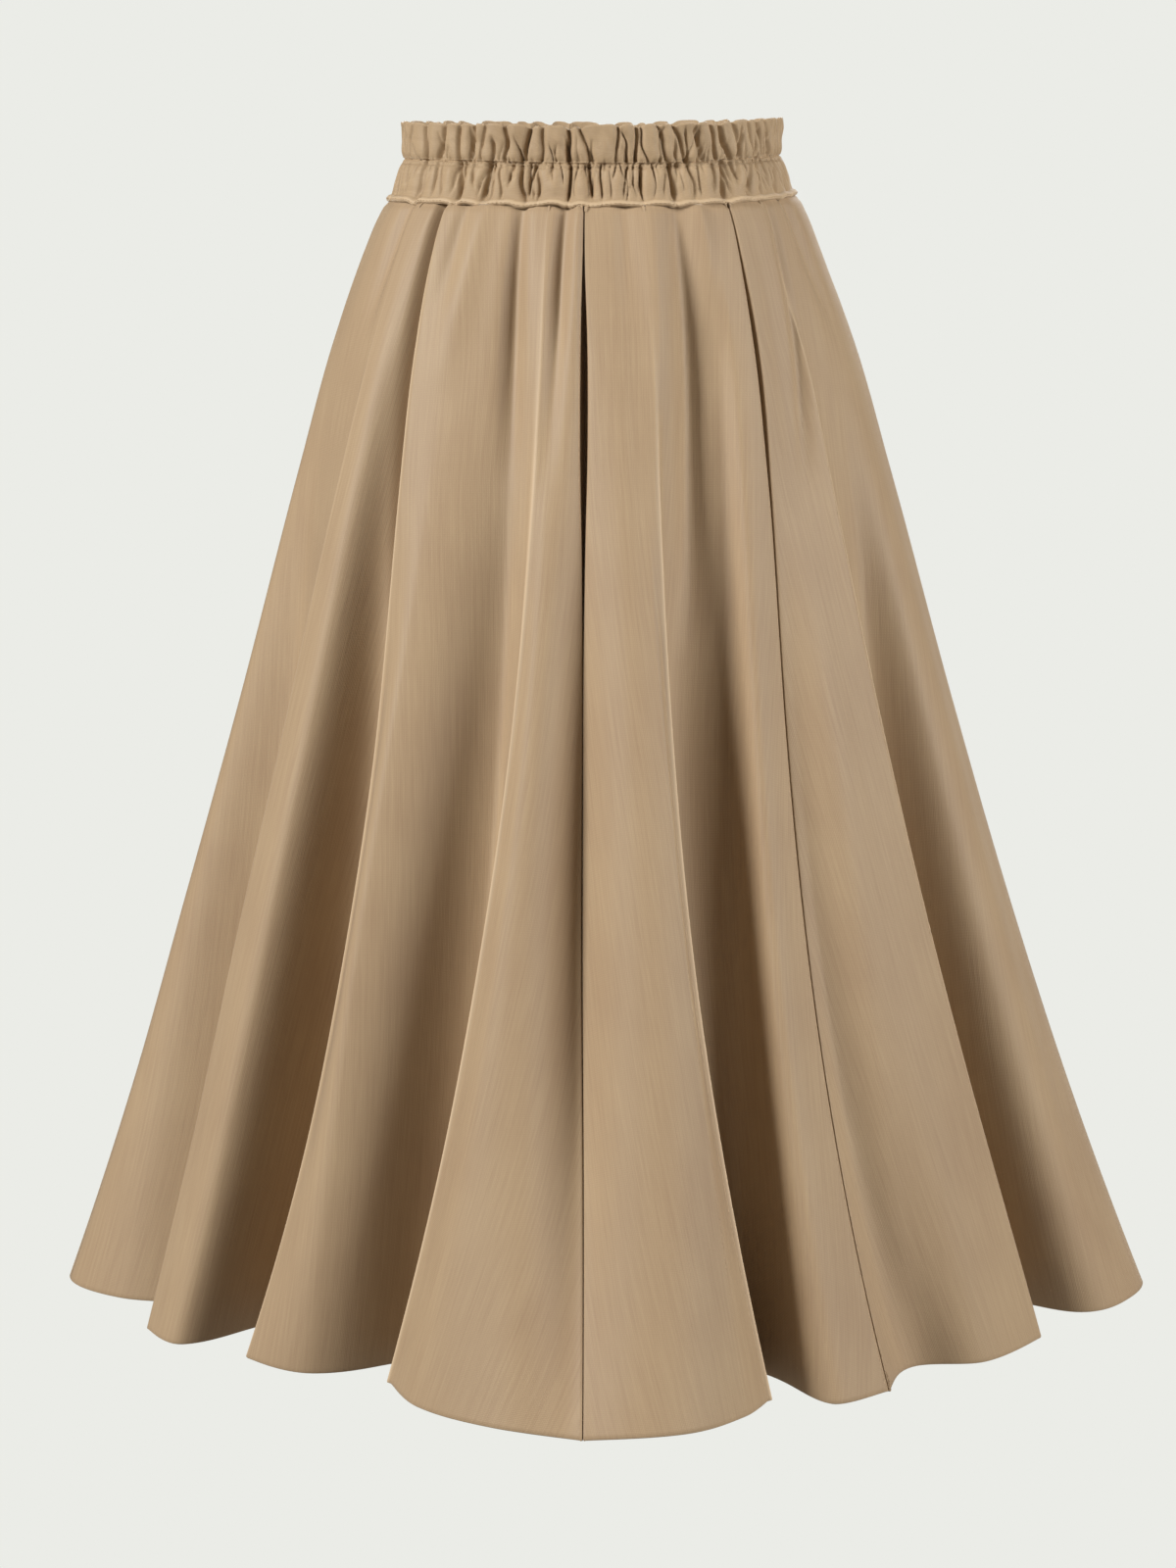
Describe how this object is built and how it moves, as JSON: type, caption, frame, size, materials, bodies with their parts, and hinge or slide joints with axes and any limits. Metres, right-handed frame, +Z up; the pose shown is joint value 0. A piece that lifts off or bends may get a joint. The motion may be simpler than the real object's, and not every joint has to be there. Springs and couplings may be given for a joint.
{
  "type": "pleated midi skirt",
  "caption": "Flared midi skirt of gores with pleated seams, hanging in deep folds from a frilled, gathered elastic waistband, hollow and open at waist and hem.",
  "frame": {"origin": "centre of the waist, level with the row of stitches between the frilled heading and the elastic casing", "axes": "+Z up along the hanging skirt, -Y to the front, +X to the right as seen from the front"},
  "size_m": [0.756, 0.6176, 0.801],
  "materials": {
    "skirt_cloth": "plain warm beige woven cloth with a soft satin face",
    "waistband_cloth": "the same beige cloth, gathered over elastic"
  },
  "bodies": {
    "root": {"gore_front_side_left": "skirt_cloth", "gore_front_centre_left": "skirt_cloth", "gore_front_centre_right": "skirt_cloth", "gore_front_side_right": "skirt_cloth", "gore_back_side_right": "skirt_cloth", "gore_back_centre_right": "skirt_cloth", "gore_back_centre_left": "skirt_cloth", "gore_back_side_left": "skirt_cloth", "waistband": "waistband_cloth"}
  },
  "joints": []
}
